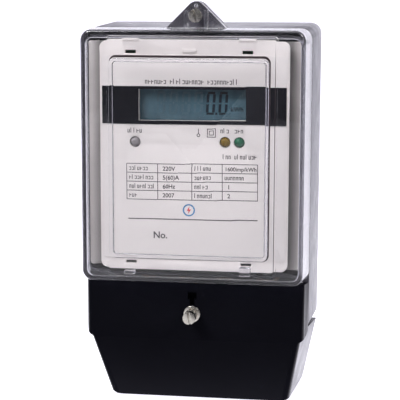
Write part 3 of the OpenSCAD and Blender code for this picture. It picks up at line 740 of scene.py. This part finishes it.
SLOT_OF = {entry["node"]: entry["material_slot"] for entry in frame["record"]["subparts"]}
EDGE_WIDTHS = {
    "base": 0.5,
    "terminal_cover": 0.5,
    "front_panel": 0.35,
    "nameplate": 0.05,
    "display_bezel": 0.04,
    "cover_screw": 0.2,
    "terminal_cover_screw": 0.25,
    "terminal_cover_washer": 0.25,
    "cover_screw_washer": 0.1,
    "terminal_block": 0.4,
}


def finish_cad_nodes():
    for name, piece in nodes.items():
        piece.data.materials.clear()
        piece.data.materials.append(MATERIALS[SLOT_OF[name]])
        soften(piece, EDGE_WIDTHS.get(name, 0.15) * MM, 3 if name in EDGE_WIDTHS else 2)


finish_cad_nodes()

# ---------------------------------------------------------------- stage, light and camera


def studio_surface(name, color, glow):
    """Pale paper: it glows, faintly violet, behind the object and fades to plain paper in front of it."""
    surface = Surface(name, color, 0.7)
    surface.shader.inputs["Emission Color"].default_value = (0.9, 0.88, 1, 1)
    split = surface.split("Object")
    fade = surface.node("ShaderNodeMath", operation="MULTIPLY")
    surface.link(surface.remap(split.outputs["Y"], 0, glow, (-0.1, -0.045)), fade.inputs[0])
    surface.link(surface.remap(split.outputs["Z"], 1, 0.2, (0.3, 0.75)), fade.inputs[1])
    surface.link(fade.outputs["Value"], surface.shader.inputs["Emission Strength"])
    MATERIALS[name] = surface.mottle(4, 0.01).material


def make_stage():
    """A pale floor that turns up into a pale backdrop."""
    studio_surface("studio_white", (0.8, 0.8, 0.81), 1.06)
    floor_z = TERMINAL_COVER_BOTTOM - 0.4 * MM
    bm = bmesh.new()
    sweep = 0.35
    wall_y = 0.9
    profile = [(-1.6, floor_z), (wall_y - sweep, floor_z)]
    profile += [
        (wall_y - sweep + sweep * math.sin(a), floor_z + sweep * (1 - math.cos(a)))
        for a in (math.radians(90 * i / 12) for i in range(1, 13))
    ]
    profile.append((wall_y, floor_z + 2.4))
    rows = [[bm.verts.new((x, y, z)) for y, z in profile] for x in (-2.2, 2.2)]
    for i in range(len(profile) - 1):
        bm.faces.new((rows[0][i], rows[1][i], rows[1][i + 1], rows[0][i + 1]))
    mesh = bpy.data.meshes.new("studio_floor")
    bm.to_mesh(mesh)
    bm.free()
    floor = new_object("studio_floor", mesh, "studio_white", 60)


def area_light(name, place, aim, size, watts, spread):
    lamp = bpy.data.lights.new(name, "AREA")
    lamp.spread = math.radians(spread)
    lamp.shape = "RECTANGLE"
    lamp.size, lamp.size_y = size
    lamp.energy = watts
    holder = bpy.data.objects.new(name, lamp)
    holder.location = place
    holder.rotation_euler = (Vector(aim) - Vector(place)).to_track_quat("-Z", "Y").to_euler()
    bpy.context.scene.collection.objects.link(holder)


def make_lights():
    """Two soft lamps light the front from above, clear of its mirror reflections; one lights the top."""
    area_light("key", (-0.62, -0.85, 1.0), (0, 0, -0.01), (0.7, 0.5), 0.95, 34)
    area_light("fill", (0.85, -0.8, 0.8), (0, 0, -0.01), (0.6, 0.5), 0.32, 34)
    area_light("top", (0, 0.15, 1.1), (0, -0.02, 0), (0.9, 0.6), 0.4, 60)
    make_world()


def make_world():
    """A studio that is dark behind the camera and white behind the object, for calm reflections."""
    world = bpy.data.worlds.new("studio")
    world.use_nodes = True
    tree = world.node_tree
    place = tree.nodes.new("ShaderNodeTexCoord")
    split = tree.nodes.new("ShaderNodeSeparateXYZ")
    ramp = tree.nodes.new("ShaderNodeMapRange")
    for socket, value in zip(("From Min", "From Max", "To Min", "To Max"), (0.0, 0.5, 0.1, 1.0)):
        ramp.inputs[socket].default_value = value
    tree.links.new(place.outputs["Generated"], split.inputs["Vector"])
    tree.links.new(split.outputs["Y"], ramp.inputs["Value"])
    background = tree.nodes["Background"]
    background.inputs["Color"].default_value = (0.93, 0.93, 1, 1)
    tree.links.new(ramp.outputs["Result"], background.inputs["Strength"])
    bpy.context.scene.world = world


def make_camera():
    camera = bpy.data.cameras.new("camera")
    camera.sensor_width = 36
    camera.lens = 119.2
    camera.clip_start = 0.01
    holder = bpy.data.objects.new("camera", camera)
    swing, tip, roll = 0.147, 0.153, 0.003
    distance = 673 * MM
    aim = Vector((-2.04, -30, -11.8)) * MM
    forward = Vector((-math.sin(swing) * math.cos(tip), math.cos(swing) * math.cos(tip), -math.sin(tip)))
    holder.location = aim - forward * distance
    turn = forward.to_track_quat("-Z", "Y").to_matrix().to_4x4()
    holder.rotation_euler = (turn @ Matrix.Rotation(roll, 4, "Z")).to_euler()
    bpy.context.scene.collection.objects.link(holder)
    bpy.context.scene.camera = holder


make_stage()
make_lights()
make_camera()
bpy.context.scene.view_settings.view_transform = "Standard"
